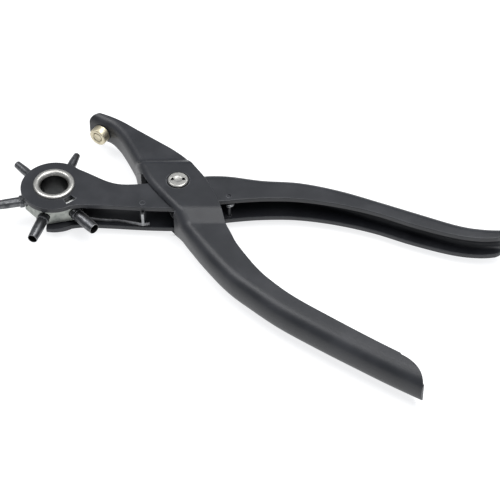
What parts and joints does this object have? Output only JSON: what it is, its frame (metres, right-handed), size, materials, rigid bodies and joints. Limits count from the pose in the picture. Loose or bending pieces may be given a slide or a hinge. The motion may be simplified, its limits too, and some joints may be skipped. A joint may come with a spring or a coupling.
{
  "type": "rotary hole punch",
  "caption": "Hand pliers for punching round holes in leather: a turning turret of hollow tubes in one jaw closes on a brass anvil in the other, and a spring reopens the handles.",
  "frame": {"origin": "on the pivot axis, at the centre of the flat outer face of the pivot nut, the lowest face when the tool lies flat", "axes": "+Z along the pivot axis, up out of the pivot bolt's head; -X from the pivot to the turret axis; +X towards the handle ends; +Y towards the anvil jaw"},
  "size_m": [0.2257, 0.1602, 0.0219],
  "materials": {
    "black_finish": "satin black coating over pressed steel",
    "nickel_plate": "bright nickel plate",
    "hub_steel": "turned steel, lightly oiled",
    "tube_steel": "dark hardened steel with ground cutting edges",
    "brass": "turned brass, slightly worn",
    "spring_steel": "bright drawn spring steel"
  },
  "bodies": {
    "turret_lever_body": {"turret_lever": "black_finish", "turret_axle": "nickel_plate", "turret_axle_ring": "nickel_plate", "turret_washer_upper": "spring_steel", "turret_washer_lower": "spring_steel", "pivot_bolt": "nickel_plate", "pivot_nut": "nickel_plate", "pivot_bush": "spring_steel", "pivot_washer_upper": "spring_steel", "pivot_washer_lower": "spring_steel", "opening_spring": "spring_steel", "opening_spring_pin": "nickel_plate", "index_spring": "spring_steel", "index_spring_post": "nickel_plate"},
    "anvil_lever_body": {"anvil_lever": "black_finish", "anvil": "brass", "anvil_rivet": "brass"},
    "turret_body": {"turret_hub": "hub_steel", "punch_tube_1": "tube_steel", "punch_tube_2": "tube_steel", "punch_tube_3": "tube_steel", "punch_tube_4": "tube_steel", "punch_tube_5": "tube_steel", "punch_tube_6": "tube_steel"}
  },
  "joints": [
    {"name": "jaw_pivot", "type": "hinge", "parent": "turret_lever_body", "child": "anvil_lever_body", "pos_m": [0, 0, 0.011], "axis": [0, 0, 1], "range_deg": [0, 15.1], "stiffness_Nm_per_rad": 0.8, "springref_deg": -34.38, "deforming": ["opening_spring"]},
    {"name": "turret_spin", "type": "hinge", "parent": "turret_lever_body", "child": "turret_body", "pos_m": [-0.055, 0, 0.011], "axis": [0, 0, 1], "continuous": true, "deforming": ["index_spring"]}
  ]
}
